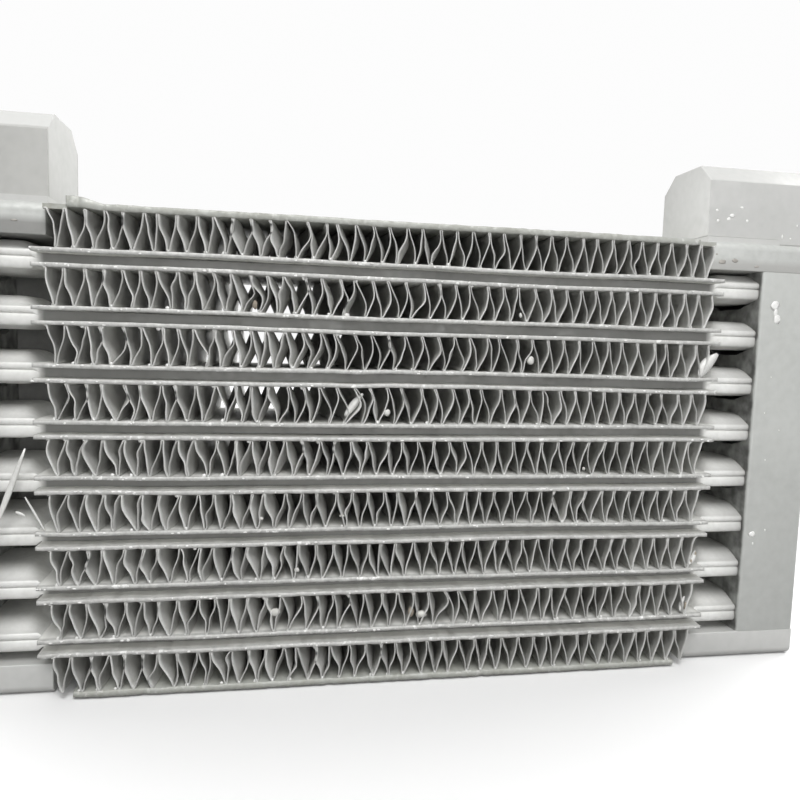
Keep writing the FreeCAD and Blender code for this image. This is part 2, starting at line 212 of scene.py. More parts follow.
def new_group(name, inputs, outputs):
    """Empty shader node group with named sockets. Returns the group, its ends and Object."""
    group = bpy.data.node_groups.new(name, "ShaderNodeTree")
    for socket_name, kind, start in inputs:
        socket = group.interface.new_socket(
            name=socket_name, in_out="INPUT", socket_type=f"NodeSocket{kind}"
        )
        socket.default_value = start
    for socket_name, kind in outputs:
        group.interface.new_socket(
            name=socket_name, in_out="OUTPUT", socket_type=f"NodeSocket{kind}"
        )
    inlet = group.nodes.new("NodeGroupInput")
    outlet = group.nodes.new("NodeGroupOutput")
    where = group.nodes.new("ShaderNodeTexCoord").outputs["Object"]
    return group, inlet.outputs, outlet.inputs, where


def noise(tree, where, scale, detail=2.0):
    """Noise texture over the object's own coordinates."""
    node = tree.nodes.new("ShaderNodeTexNoise")
    node.inputs["Detail"].default_value = detail
    tree.links.new(where, node.inputs["Vector"])
    if isinstance(scale, float):
        node.inputs["Scale"].default_value = scale
    else:
        tree.links.new(scale, node.inputs["Scale"])
    return node.outputs["Fac"]


def math_node(tree, operation, a, b=None, c=None):
    """Math node on sockets or plain numbers."""
    node = tree.nodes.new("ShaderNodeMath")
    node.operation = operation
    for socket, given in zip(node.inputs, (a, b, c)):
        if isinstance(given, (int, float)):
            socket.default_value = given
        elif given is not None:
            tree.links.new(given, socket)
    return node.outputs[0]


def ramp(tree, given, low, high):
    """Rises from 0 to 1 while the given number goes from low to high."""
    node = tree.nodes.new("ShaderNodeMapRange")
    node.inputs["From Min"].default_value = low
    node.inputs["From Max"].default_value = high
    tree.links.new(given, node.inputs["Value"])
    return node.outputs["Result"]


def mixed(tree, amount, a, b):
    """Colour between a and b."""
    node = tree.nodes.new("ShaderNodeMix")
    node.data_type = "RGBA"
    tree.links.new(amount, node.inputs["Factor"])
    for socket, given in ((node.inputs["A"], a), (node.inputs["B"], b)):
        if isinstance(given, tuple):
            socket.default_value = (*given, 1)
        else:
            tree.links.new(given, socket)
    return node.outputs["Result"]


def wear_group():
    """Blotches and grain mixed over a clean and a dirty colour."""
    group, given, out, where = new_group(
        "Metal wear",
        (
            ("Clean", "Color", (0.6, 0.6, 0.6, 1)),
            ("Dirty", "Color", (0.3, 0.3, 0.3, 1)),
            ("Dirt", "Float", 0.5),
            ("Blotch size", "Float", 90.0),
            ("Grain size", "Float", 900.0),
            ("Gloss", "Float", 0.4),
        ),
        (("Color", "Color"), ("Roughness", "Float"), ("Height", "Float")),
    )
    blotch = noise(group, where, given["Blotch size"], 4.0)
    grain = noise(group, where, given["Grain size"])
    both = math_node(group, "ADD", blotch, grain)
    spread = ramp(group, both, 0.7, 1.35)
    amount = math_node(group, "MULTIPLY", spread, given["Dirt"])
    group.links.new(mixed(group, amount, given["Clean"], given["Dirty"]), out["Color"])
    group.links.new(math_node(group, "MULTIPLY_ADD", spread, 0.3, given["Gloss"]), out["Roughness"])
    group.links.new(both, out["Height"])
    return group


def nick_group():
    """Bright nicks and scrapes along the front and back edges of the core."""
    group, given, out, where = new_group(
        "Edge nicks",
        (
            ("Color", "Color", (0.6, 0.6, 0.6, 1)),
            ("Nick color", "Color", (0.95, 0.95, 0.93, 1)),
            ("Amount", "Float", 0.5),
            ("Edge from", "Float", 15.2 * MM),
        ),
        (("Color", "Color"),),
    )
    split = group.nodes.new("ShaderNodeSeparateXYZ")
    group.links.new(where, split.inputs[0])
    depth = math_node(group, "ABSOLUTE", split.outputs["Y"])
    over = math_node(group, "SUBTRACT", depth, given["Edge from"])
    edge = ramp(group, over, 0.0, 0.45 * MM)
    many = ramp(group, noise(group, where, 70.0), 0.42, 0.68)
    few = ramp(group, noise(group, where, 750.0), 0.56, 0.66)
    nicks = math_node(group, "MULTIPLY", few, many)
    nicks = math_node(group, "MULTIPLY", nicks, edge)
    amount = math_node(group, "MULTIPLY", nicks, given["Amount"])
    group.links.new(mixed(group, amount, given["Color"], given["Nick color"]), out["Color"])
    return group


def zone_group(name, axis):
    """Colour that changes from one place to another along an axis, with an uneven border. The
    materials use it for painted shade and painted light, and the right top bar uses it for a darker
    lower band.
    """
    group, given, out, where = new_group(
        name,
        (
            ("Color", "Color", (0.6, 0.6, 0.6, 1)),
            ("Band color", "Color", (0.2, 0.2, 0.2, 1)),
            ("Band from", "Float", 0.0),
            ("Band full at", "Float", 1.0),
        ),
        (("Color", "Color"),),
    )
    split = group.nodes.new("ShaderNodeSeparateXYZ")
    group.links.new(where, split.inputs[0])
    along = split.outputs[axis]
    if axis != "Z":
        along = math_node(group, "ABSOLUTE", along)
    uneven = math_node(group, "MULTIPLY", noise(group, where, 300.0), 0.6 * MM)
    fade = group.nodes.new("ShaderNodeMapRange")
    group.links.new(math_node(group, "ADD", along, uneven), fade.inputs["Value"])
    group.links.new(given["Band from"], fade.inputs["From Min"])
    group.links.new(given["Band full at"], fade.inputs["From Max"])
    colour = mixed(group, fade.outputs["Result"], given["Color"], given["Band color"])
    group.links.new(colour, out["Color"])
    return group


WEAR = wear_group()
NICKS = nick_group()
ZONES = {axis: zone_group(f"Band along {axis}", axis) for axis in "XYZ"}


def metal(
    name, clean, dirty, dirt, gloss, blotch=90.0, grain=900.0, nicks=0.0, zones=(), tone_and_shade=None
):
    """Worn bare metal between a clean and a dirty grey, with a fine uneven surface.

    A zone is an axis, the places in millimetres where its colour starts to change and where it has
    fully changed, and the changed grey: painted shade on most materials, painted light inside the
    core, and a darker lower band on the right top bar. The tone_and_shade colour shows where the
    mesh's "tone_and_shade" attribute is 1: a random darker tone with painted shade.
    """
    material = bpy.data.materials.new(name)
    material.use_nodes = True
    tree = material.node_tree
    shader = tree.nodes["Principled BSDF"]
    shader.inputs["Metallic"].default_value = 0.25
    wear = tree.nodes.new("ShaderNodeGroup")
    wear.node_tree = WEAR
    wear.inputs["Clean"].default_value = (*clean, 1)
    wear.inputs["Dirty"].default_value = (*dirty, 1)
    wear.inputs["Dirt"].default_value = dirt
    wear.inputs["Blotch size"].default_value = blotch
    wear.inputs["Grain size"].default_value = grain
    wear.inputs["Gloss"].default_value = gloss
    colour = wear.outputs["Color"]
    for axis, band_start, band_full, grey in zones:
        banded = tree.nodes.new("ShaderNodeGroup")
        banded.node_tree = ZONES[axis]
        banded.inputs["Band color"].default_value = (grey, grey, grey * 0.96, 1)
        banded.inputs["Band from"].default_value = band_start * MM
        banded.inputs["Band full at"].default_value = band_full * MM
        tree.links.new(colour, banded.inputs["Color"])
        colour = banded.outputs["Color"]
    if tone_and_shade:
        layer = tree.nodes.new("ShaderNodeAttribute")
        layer.attribute_name = "tone_and_shade"
        colour = mixed(tree, layer.outputs["Fac"], colour, tone_and_shade)
    if nicks:
        nicked = tree.nodes.new("ShaderNodeGroup")
        nicked.node_tree = NICKS
        nicked.inputs["Amount"].default_value = nicks
        tree.links.new(colour, nicked.inputs["Color"])
        colour = nicked.outputs["Color"]
    tree.links.new(colour, shader.inputs["Base Color"])
    tree.links.new(wear.outputs["Roughness"], shader.inputs["Roughness"])
    uneven = tree.nodes.new("ShaderNodeBump")
    uneven.inputs["Strength"].default_value = 0.5
    uneven.inputs["Distance"].default_value = 0.02 * MM
    tree.links.new(wear.outputs["Height"], uneven.inputs["Height"])
    tree.links.new(uneven.outputs["Normal"], shader.inputs["Normal"])
    return material


# Painted shade: where the tank faces the core, within 92.9 mm of the middle, its inner wall is
# nearly black (0.14). This stands for the shade in the pockets between the tubes.
TANK_METAL = metal(
    "tank metal", (0.52, 0.53, 0.51), (0.45, 0.46, 0.44), 0.5, 0.45, 45.0, 400.0,
    zones=[("X", 93.2, 92.9, 0.14)],
)
BLOCK_METAL = metal("block metal", (0.58, 0.58, 0.565), (0.53, 0.54, 0.52), 0.4, 0.45, 60.0, 500.0)
# Painted shade: beyond 10.6 mm from the middle, the left port block's front and back faces are
# darker (0.46). This dims its front to match the right block's.
FRONT_SHADED_BLOCK = metal(
    "block metal with painted shade in front", (0.60, 0.60, 0.585), (0.56, 0.57, 0.55), 0.4, 0.5, 60.0, 500.0,
    zones=[("Y", 10.1, 10.6, 0.46)],
)
# Painted shade: below 106.6 mm the left top bar darkens, reaching 0.27 at 105 mm. This stands for
# the shade on its lower part under the rounded top.
LOWER_SHADED_BAR = metal(
    "bar metal with painted shade below", (0.56, 0.57, 0.55), (0.42, 0.43, 0.41), 0.6, 0.45, 160.0, 600.0,
    zones=[("Z", 106.6, 105.0, 0.27)],
)
# The right top bar turns darker (0.45) below 105.6 mm, towards its bottom.
BAR_METAL = metal(
    "bar metal", (0.57, 0.58, 0.56), (0.46, 0.47, 0.45), 0.6, 0.35, 160.0, 600.0,
    zones=[("Z", 105.6, 104.0, 0.45)],
)
# Painted shade: the tube ends darken towards the tanks, from 86 to 97 mm out (0.40). Inside 78.9
# mm, where the nose lies in the recess between the sheets, the tube is nearly black (0.22).
TUBE_METAL = metal(
    "tube metal", (0.80, 0.80, 0.78), (0.60, 0.60, 0.57), 0.5, 0.4, 120.0, 700.0,
    zones=[("X", 86.0, 97.0, 0.40), ("X", 80.4, 78.9, 0.22)],
)
# Painted light: within 14.6 mm of the middle in depth, behind the front and back edges, the sheets
# are lighter (0.76). This lifts the shade inside the core.
SHEET_METAL = metal(
    "sheet metal", (0.58, 0.58, 0.56), (0.38, 0.38, 0.365), 0.7, 0.45, 320.0, 1500.0, nicks=0.9,
    zones=[("Y", 15.4, 14.6, 0.76)],
)
# Painted light: within 12.5 mm of the middle in depth, the fins are lighter (0.78), which lifts the
# shade inside the core. The tone_and_shade grey (0.36) darkens legs with a random tone, and adds
# painted shade on legs that aren't lit.
FIN_METAL = metal(
    "fin metal", (0.72, 0.72, 0.70), (0.54, 0.54, 0.52), 0.7, 0.4, 260.0, 1400.0, nicks=0.25,
    zones=[("Y", 15.0, 12.5, 0.78)], tone_and_shade=(0.36, 0.36, 0.345),
)
PLATE_METAL = metal(
    "plate metal", (0.45, 0.46, 0.43), (0.35, 0.35, 0.31), 0.8, 0.45, 110.0, 900.0, nicks=0.3
)
# Painted shade: the air guides are darker than the other metal. This stands for the shade in the
# pockets they close.
SHADED_GUIDE_METAL = metal("guide metal in painted shade", (0.32, 0.32, 0.31), (0.26, 0.26, 0.25), 0.5, 0.5)
CHIP = metal("bare chips", (0.88, 0.88, 0.86), (0.74, 0.74, 0.72), 0.4, 0.4)
SOLDER = metal("braze", (0.86, 0.86, 0.84), (0.72, 0.72, 0.70), 0.6, 0.45, 400.0)
STAIN = metal("dark stains", (0.43, 0.41, 0.38), (0.33, 0.31, 0.28), 0.6, 0.5)
GRIT = metal("grit", (0.72, 0.72, 0.69), (0.5, 0.49, 0.45), 0.6, 0.6, 400.0)
BROWN = metal("brown dirt", (0.38, 0.34, 0.28), (0.28, 0.24, 0.19), 0.6, 0.6, 400.0)


# Core pieces


def sheet_piece(name, tube, extra, material, seed, lip=0.0):
    """Thin sheet across the core with ragged, nicked front and back edges.

    Each edge follows the edge profile, a nearly flat band a little thicker than the sheet. It
    stands back by a random wave and by nicks, each a bell curve along x, and a burr moves it
    up and down. Extra lifts the whole sheet, and a lip lifts the upper side of its edges.
    """
    low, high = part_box(name)
    x = np.linspace(low.x, high.x, SHEET_STATIONS)
    draws = np.random.default_rng(seed)
    thick = high.z - low.z
    base = low.z + extra + (lift(x, tube) if tube else 0.0)
    ring = []
    for side in (-1, 1):
        ragged = 0.10 * MM * (1 + wander(x, 1.1 * MM, 1.0, seed + 1 + side))
        ragged += 0.05 * MM * draws.uniform(0, 1, SHEET_STATIONS)
        at = draws.uniform(low.x, high.x, EDGE_NICKS)
        width = draws.uniform(0.3, 0.9, EDGE_NICKS) * MM
        deep = draws.uniform(0.05, 0.22, EDGE_NICKS) * MM
        nicks = (deep * np.exp(-(((x[:, None] - at) / width) ** 2))).sum(1)
        edge = side * (high.y - ragged - nicks)
        burr = wander(x, 0.8 * MM, 0.07 * MM, seed + 5 + side)
        half = thick / 2 * (1.15 + 0.10 * wander(x, 1.6 * MM, 1.0, seed + 9 + side))
        for share, back in EDGE_PROFILE if side > 0 else EDGE_PROFILE[::-1]:
            y = edge - side * back * MM
            z = base + thick / 2 + burr * (abs(share) < 1) + share * half + lip * (share > 0)
            ring.append(np.stack([x, y, z], -1))
    points = np.stack(ring, 1)
    faces = closed_tube_faces(SHEET_STATIONS, len(ring))
    link_mesh(name.replace("_", "-"), points, faces, material, [name])


def tube_piece(tube):
    """Flattened tube whose ends open out.

    At an open end the nose is two round lobes, each an arc from 75 to -75 degrees, with a seam
    between them. The top and bottom rise from it to a low dome, a quarter sine wave from each
    side, which reaches full height a few millimetres from the sheets. The underside's dome is
    the flatter one.
    """
    x_end = np.linspace(FLARE_START - 1 * MM, TUBE_HIGH.x, 30)
    x = np.concatenate([-x_end[::-1], x_end])[:, None]
    opened = np.clip((np.abs(x) - FLARE_START) / FLARE_LENGTH, 0, 1)
    lobed = smooth(opened * 5)
    top = TUBE_HALF + (NOSE_TOP - TUBE_HALF) * lobed
    bottom = -TUBE_HALF + (NOSE_BOTTOM + TUBE_HALF) * lobed
    crest = TUBE_HALF + (FLARE_HALF - TUBE_HALF) * np.sin(np.pi / 2 * smooth(opened * 1.1) ** 0.8)
    flat = -TUBE_FRONT - NOSE_ROUND
    across = np.linspace(-1, 1, 25)[None, :]
    dome = np.sin(np.pi / 2 * np.clip((1 - np.abs(across)) / 0.6, 0, 1))
    top_z = top + np.maximum(crest - top, 0) * dome
    under_z = bottom - np.maximum(0.72 * crest + bottom, 0) * dome
    wide_y = np.broadcast_to(flat * across, top_z.shape)
    turns = np.radians([75, 50, 25, 0, -25, -50, -75])[None, :]
    lobe_y = flat + NOSE_ROUND * (1 - lobed * (1 - np.cos(turns)))
    seam_y = flat + NOSE_ROUND * (1 - 1.5 * lobed)
    seam_z = NOSE_SEAM * lobed
    upper_z = (top + seam_z) / 2 + (top - seam_z) / 2 * np.sin(turns)
    lower_z = (seam_z + bottom) / 2 + (seam_z - bottom) / 2 * np.sin(turns)
    nose_y = np.concatenate([lobe_y, seam_y, lobe_y], 1)
    nose_z = np.concatenate([upper_z, seam_z, lower_z], 1)
    y = np.concatenate([wide_y, nose_y, wide_y[:, ::-1], -nose_y[:, ::-1]], 1)
    z = np.concatenate([top_z, nose_z, under_z[:, ::-1], nose_z[:, ::-1]], 1)
    z = z + middle_of(tube) + lift(x, tube)
    points = np.stack([np.broadcast_to(x, y.shape), y, z], -1)
    faces = closed_tube_faces(*y.shape)
    name = f"oil_tube_{tube}"
    link_mesh(name.replace("_", "-"), points, faces, TUBE_METAL, [name])


def bow_at(x, row):
    """Bulge of the fin legs to the right at x, in metres, on straight lines between places."""
    return MM * np.interp(x, BOW_PLACES, BOWS[row - 1])


def dented(x, share, row):
    """Push to the right at x and at a share of the row's height: a hump at each dent."""
    push = 0.0 * x
    for where, at, reach, far, height, spread in DENTS:
        if where == row:
            near = np.exp(-(((x / MM - at) / reach) ** 2) - ((share - height) / spread) ** 2)
            push += far * MM * near
    return push


def fold_middles(low, high, draws):
    """Even places of the folds along a row, and their true middles at every depth.

    Each fold is moved by three random amounts: one over its whole depth, one that fades away
    behind the front, and one that slants it. The whole row also snakes by one sine wave
    through the depth. All of it eases to nothing at the ends of the row.
    """
    inset = FOLD_RADIUS + FOIL
    knots = np.linspace(low.x + inset, high.x - inset, FOLDS + 1)[:, None]
    snake = draws.uniform(0.6, 0.85) * MM * np.sin(2 * np.pi * DEPTHS)
    ends = smooth((high.x - np.abs(knots)) / (12 * MM))
    loose = draws.normal(0, 1, (FOLDS + 1, 3))
    rough = 0.6 + 0.4 * smooth((20 * MM - knots) / (60 * MM))
    shift = 0.12 * loose[:, :1] + 0.36 * rough * loose[:, 1:2] * FRONTNESS
    shift = np.clip(shift + 0.30 * loose[:, 2:] * (DEPTHS - 0.3), -0.8, 0.8) * MM
    return knots, knots + (shift + snake) * ends


def leg_bulges(row, knots, leg_middle, lit, t, draws):
    """Sideways bow of each leg at every depth, and its kink at the heights t.

    The bow is the row's own with a random part, wilder at the left, most of it at the front.
    A sine wave through the depth is added, to the right in the front half and to the left in
    the back half. It turns over at the core's left, between 48 and 36 mm from the middle. Lit
    legs bow further away from the camera. The kink is a narrow bell curve at a random height.
    """
    front = FRONTNESS[:, None, :]
    wild = 0.5 + 0.5 * smooth((30 * MM - leg_middle) / (60 * MM))
    bow = bow_at(knots[:-1, 0], row)[:, None, None]
    bow = bow + draws.normal(0, 0.34 * MM, (FOLDS, 1, 1)) * wild
    away = smooth((leg_middle + 48 * MM) / (12 * MM)) * 2.0 - 1.0
    weave = draws.uniform(0.6, 1.15, (FOLDS, 1, 1)) * np.sin(2 * np.pi * DEPTHS)[:, None, :]
    weave = weave * np.where(away > 0, 1.15, 0.7) * MM * away
    bow = bow * (0.2 + 0.8 * front) + weave
    bow = bow + 0.45 * MM * lit * front
    kink = draws.normal(0, 0.40 * MM, (FOLDS, 1, 1)) * wild * front
    kink = kink * np.exp(-(((t - draws.uniform(0.2, 0.8, (FOLDS, 1, 1))) / 0.18) ** 2))
    return bow, kink


def foil_rings(x, y, z):
    """Points of the foil's two faces at every depth.

    The middle line is moved half the foil's thickness along its normal to one side, and back
    along the other side.
    """
    slope_x, slope_z = np.gradient(x, axis=0), np.gradient(z, axis=0)
    length = np.hypot(slope_x, slope_z)
    off_x, off_z = -slope_z / length * FOIL / 2, slope_x / length * FOIL / 2
    one = np.stack([x + off_x, y, z + off_z], -1).transpose(1, 0, 2)
    other = np.stack([x - off_x, y, z - off_z], -1).transpose(1, 0, 2)
    return np.concatenate([one, other[:, ::-1]], 1)


def fin_piece(row):
    """Corrugated fins of one row: tight round folds joined by curved, uneven legs.

    A fold is half an ellipse. A leg eases from fold to fold, upright at its ends and slanting
    between them, and is pushed aside by a half sine wave of its bow, its kink and the dents.
    Heights are shares of the row's height, which follows the sheets above and below. The
    "tone_and_shade" attribute darkens legs at random for their tone, and darkens them more as
    painted shade where they aren't lit.
    """
    name = f"fin_row_{row}"
    low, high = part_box(name)
    draws = np.random.default_rng(500 + row)
    knots, centre = fold_middles(low, high, draws)
    up = (np.arange(FOLDS + 1) % 2 == 0)[:, None, None]
    margin = FOLD_RISE / (high.z - low.z)
    arc = np.radians(np.linspace(180, 0, FOLD_POINTS))[None, :, None]
    arc_x = centre[:, None, :] + FOLD_RADIUS * np.cos(arc)
    arc_share = 1 - margin + margin * np.sin(arc) + 0 * arc_x
    arc_share = np.where(up, arc_share, 1 - arc_share)
    t = np.linspace(0, 1, LEG_POINTS + 2)[None, 1:-1, None]
    upright = draws.uniform(0.5, 1.0, (FOLDS, 1, 1))
    ease = t - upright * np.sin(2 * np.pi * t) / (2 * np.pi)
    start = centre[:-1, None, :] + FOLD_RADIUS
    end = centre[1:, None, :] - FOLD_RADIUS
    leg_middle = (knots[:-1] + knots[1:])[:, :, None] / 2
    # A leg is lit where it turns its upper face to the camera. Its value is then the side of
    # the camera on which it stands, -1 or 1, and else 0.
    right_of_camera = np.sign(leg_middle - VIEW_X)
    lit = (up[:-1] == (right_of_camera < 0)) * right_of_camera
    bow, kink = leg_bulges(row, knots, leg_middle, lit, t, draws)
    leg_x = start + (end - start) * ease + bow * np.sin(np.pi * t) + kink
    leg_share = margin + (1 - 2 * margin) * t + 0 * leg_x
    leg_share = np.where(up[:-1], 1 - leg_share, leg_share)
    leg_x = leg_x + dented(leg_x, leg_share, row) * (0.35 + 0.65 * FRONTNESS[:, None, :])
    across = DEPTHS.shape[1]
    x = np.concatenate([arc_x[:-1], leg_x], 1).reshape(-1, across)
    x = np.concatenate([x, arc_x[-1]])
    share = np.concatenate([arc_share[:-1], leg_share], 1).reshape(-1, across)
    share = np.concatenate([share, arc_share[-1]])
    floor = low.z + FOIL / 2 + (lift(x, row) if row < ROWS[-1] else 0.0)
    roof = high.z - FOIL / 2 + (lift(x, row - 1) if row > 1 else 0.0)
    z = floor + (roof - floor) * share
    y = np.broadcast_to(low.y + (high.y - low.y) * DEPTHS, x.shape)
    count = len(x)
    strip = np.arange(count - 1)
    cap = np.stack([strip, strip + 1, 2 * count - 2 - strip, 2 * count - 1 - strip], -1)
    faces = np.concatenate([grid_faces(across, 2 * count), cap, cap + (across - 1) * 2 * count])
    piece = link_mesh(
        name.replace("_", "-"), foil_rings(x, y, z), faces.tolist(), FIN_METAL, [name]
    )
    # Painted shade: legs that aren't lit get 0.45 more of the darker grey, on top of a random tone
    # of up to 0.45.
    leg_tone_and_shade = draws.uniform(0.0, 0.45, FOLDS) + 0.45 * (lit[:, 0, 0] == 0)
    parts = np.stack([0.5 * leg_tone_and_shade, leg_tone_and_shade], 1)
    tone_and_shade = np.repeat(parts, (FOLD_POINTS, LEG_POINTS), axis=1).ravel()
    tone_and_shade = np.concatenate([tone_and_shade, np.full(FOLD_POINTS, 0.2)])
    layer = piece.data.attributes.new("tone_and_shade", "FLOAT", "POINT")
    layer.data.foreach_set("value", np.tile(np.concatenate([tone_and_shade, tone_and_shade[::-1]]), across))


for n in TUBES:
    tube_piece(n)
    for k, place in enumerate(("upper", "lower")):
        sheet_piece(
            f"{place}_sheet_{n}", n, 0.0, SHEET_METAL, 1000 + 40 * n + 20 * k
        )
for n in ROWS:
    fin_piece(n)

# The top plate's left end is bent up and stands in a taller lip.
plate_low, plate_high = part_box("top_side_plate")
along = np.linspace(plate_low.x, plate_high.x, SHEET_STATIONS)
raised = smooth((-65 * MM - along) / (5.5 * MM))
bent = 0.4 * MM * raised + wander(along, 16 * MM, 0.08 * MM, 77)
sheet_piece("top_side_plate", 0, bent, PLATE_METAL, 1900, 0.9 * MM * raised)
sheet_piece("bottom_side_plate", 0, 0.0, PLATE_METAL, 1950)


# Tanks, bars and blocks

# Faces that meet at less than the first angle are one face, and edges past the second are
# rounded off
FLAT_ANGLE = math.radians(0.5)
SHARP_ANGLE = math.radians(28)


def soft_edged(node, width, material):
    """Copy of a CAD node, merged to whole faces, with its sharp edges rounded off."""
    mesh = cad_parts[node].data.copy()
    shell = bmesh.new()
    shell.from_mesh(mesh)
    bmesh.ops.remove_doubles(shell, verts=shell.verts, dist=0.001 * MM)
    bmesh.ops.dissolve_limit(
        shell, angle_limit=FLAT_ANGLE, verts=shell.verts, edges=shell.edges
    )
    bmesh.ops.recalc_face_normals(shell, faces=shell.faces)
    shell.to_mesh(mesh)
    shell.free()
    mesh.polygons.foreach_set("use_smooth", np.full(len(mesh.polygons), True))
    piece = add_piece(node.replace("_", "-"), mesh, material, [node])
    bevel = piece.modifiers.new("Edges", "BEVEL")
    bevel.width = width
    bevel.segments = 3
    bevel.limit_method = "ANGLE"
    bevel.angle_limit = SHARP_ANGLE
    bevel.harden_normals = True


def plain(node, material):
    """CAD node shown in its own shape, in a material."""
    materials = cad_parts[node].data.materials
    materials.clear()
    materials.append(material)


for hand in HANDS:
    soft_edged(f"header_tank_{hand}", BAR_EDGE, TANK_METAL)
    left = hand == "left"
    soft_edged(f"top_bar_{hand}", BAR_EDGE, LOWER_SHADED_BAR if left else BAR_METAL)
    soft_edged(f"bottom_bar_{hand}", BAR_EDGE, BLOCK_METAL)
    block_metal = FRONT_SHADED_BLOCK if left else BLOCK_METAL
    soft_edged(f"port_block_{hand}", BLOCK_EDGE, block_metal)
    plain(f"air_guide_{hand}", SHADED_GUIDE_METAL)


# Small marks and dirt, with places and sizes in millimetres

# Rings of a blob and points in a ring, and the depth of a mark on a face
BLOB_RINGS, BLOB_RING = 4, 10
BLOB_POINTS = BLOB_RINGS * BLOB_RING
MARK_DEPTH = 0.16

# Middles of the braze lumps and of the burrs in y
FILLET_Y = -15.35
BURR_Y = -15.86


def blob(centre, size, draws):
    """Points of a lumpy ball flattened to a size: a ball whose radius is random."""
    turns = np.linspace(0, 2 * np.pi, BLOB_RING + 1)[None, :-1]
    rise = np.radians([-60, -20, 20, 60])[:, None]
    radius = draws.uniform(0.75, 1.1, (BLOB_RINGS, BLOB_RING)) * np.cos(rise)
    x = radius * np.cos(turns)
    y = np.sin(rise) + 0 * turns
    z = radius * np.sin(turns)
    points = np.stack([x, -y, z], -1) * np.array(size) / 2
    return (points + np.array(centre)) * MM


def spots(name, places, material, seed):
    """Small flat marks or lumps, each from a centre and a size in millimetres."""
    draws = np.random.default_rng(seed)
    points = np.concatenate([blob(centre, size, draws).reshape(-1, 3) for centre, size in places])
    one = grid_faces(BLOB_RINGS, BLOB_RING)
    starts = [BLOB_POINTS * k for k in range(len(places))]
    sides = np.concatenate([one + start for start in starts]).tolist()
    ends = [start + at for start in starts for at in (0, BLOB_POINTS - BLOB_RING)]
    caps = [list(range(end, end + BLOB_RING)) for end in ends]
    link_mesh(name, points, sides + caps, material, [])


def flat_mark(x, z, front, width, height):
    """Mark on an upright face whose front is at a depth: barely proud of it."""
    return (x, front, z), (width, MARK_DEPTH, height)


TANK_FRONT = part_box("header_tank_right")[0].y / MM
BLOCK_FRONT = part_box("port_block_right")[0].y / MM
spots(
    "tank-chips",
    [
        flat_mark(x, z, TANK_FRONT, width, height)
        for x, z, width, height in (
            (96.8, 93.7, 2.7, 2.8), (97.2, 92.0, 1.2, 2.4), (97.7, 90.4, 2.1, 2.9),
            (98.5, 90.1, 0.5, 0.8), (95.3, 33.8, 2.2, 1.8), (97.4, 53.6, 0.5, 0.6),
            (99.0, 34.8, 0.5, 0.7), (95.7, 31.2, 0.5, 0.9), (97.3, 75.4, 0.4, 0.4),
            (100.8, 61.5, 0.4, 0.4), (96.2, 66.0, 0.3, 0.5),
        )
    ],
    CHIP, 61,
)
spots(
    "block-chips",
    [
        flat_mark(x, z, BLOCK_FRONT, width, height)
        for x, z, width, height in (
            (79.9, 117.2, 0.8, 0.8), (80.3, 114.6, 0.9, 0.9), (84.2, 116.1, 1.6, 1.0),
            (83.3, 115.2, 1.2, 1.0), (86.8, 118.2, 1.0, 0.7), (88.5, 115.0, 0.8, 0.8),
            (102.9, 114.6, 0.5, 0.6), (98.8, 111.6, 0.4, 1.3), (101.2, 111.2, 0.6, 0.5),
            (104.8, 119.2, 0.4, 0.4),
        )
    ],
    CHIP, 62,
)
spots(
    "bar-stains",
    [
        flat_mark(x, z, TANK_FRONT, width, height)
        for x, z, width, height in (
            (81.0, 104.2, 2.4, 1.3), (84.6, 104.6, 2.0, 1.1), (90.8, 103.4, 1.6, 0.7),
            (-84.0, 105.0, 1.6, 0.6), (79.4, 106.0, 0.6, 0.5),
        )
    ],
    STAIN, 63,
)
spots(
    "grit",
    [
        ((-3.7, -15.3, 65.3), (1.8, 0.9, 1.8)), ((-28.6, -15.2, 18.4), (2.6, 1.2, 2.0)),
        ((6.1, -14.8, 16.4), (2.8, 1.6, 1.8)), ((30.6, -15.3, 78.2), (2.0, 0.9, 2.2)),
        ((-23.8, -15.3, 28.4), (1.4, 0.8, 1.2)), ((74.7, -15.2, 16.2), (0.9, 0.8, 1.6)),
        ((27.6, -15.4, 88.8), (0.8, 0.6, 1.3)), ((-13.6, -15.2, 41.0), (1.4, 0.8, 0.8)),
        ((-32.0, -15.2, 40.6), (1.3, 0.8, 0.9)), ((45.6, -15.3, 52.0), (0.8, 0.6, 1.0)),
    ],
    GRIT, 64,
)
spots(
    "brown-dirt",
    [
        ((-33.9, -15.2, 89.0), (1.2, 0.8, 2.2)), ((75.6, -15.2, 15.9), (0.8, 0.7, 2.4)),
        ((76.4, -15.1, 27.6), (0.7, 0.7, 1.6)), ((77.6, -15.0, 29.4), (0.6, 0.6, 2.0)),
        ((3.6, -14.6, 17.0), (1.6, 1.0, 2.6)),
    ],
    BROWN, 65,
)


def fillets(row, draws):
    """Braze lumps where the folds of a row touch the sheets, mostly at the bottom."""
    low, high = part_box(f"fin_row_{row}")
    places = []
    for k in range(1, FOLDS):
        top = k % 2 == 0
        x = low.x + (high.x - low.x) * k / FOLDS
        size = draws.uniform(0.6, 1.2) if x < 0.01 else draws.uniform(0.4, 0.9)
        kept = draws.uniform() < (0.25 if top else 0.5)
        level = high.z + lift(x, row - 1) - 0.2 * MM if top and row > 1 else low.z + 0.25 * MM
        if not top and row < ROWS[-1]:
            level += lift(x, row)
        if kept and (row > 1 or not top):
            centre = (x / MM, FILLET_Y, level / MM)
            places.append((centre, (size, 0.5, size * draws.uniform(0.7, 1.2))))
    return places


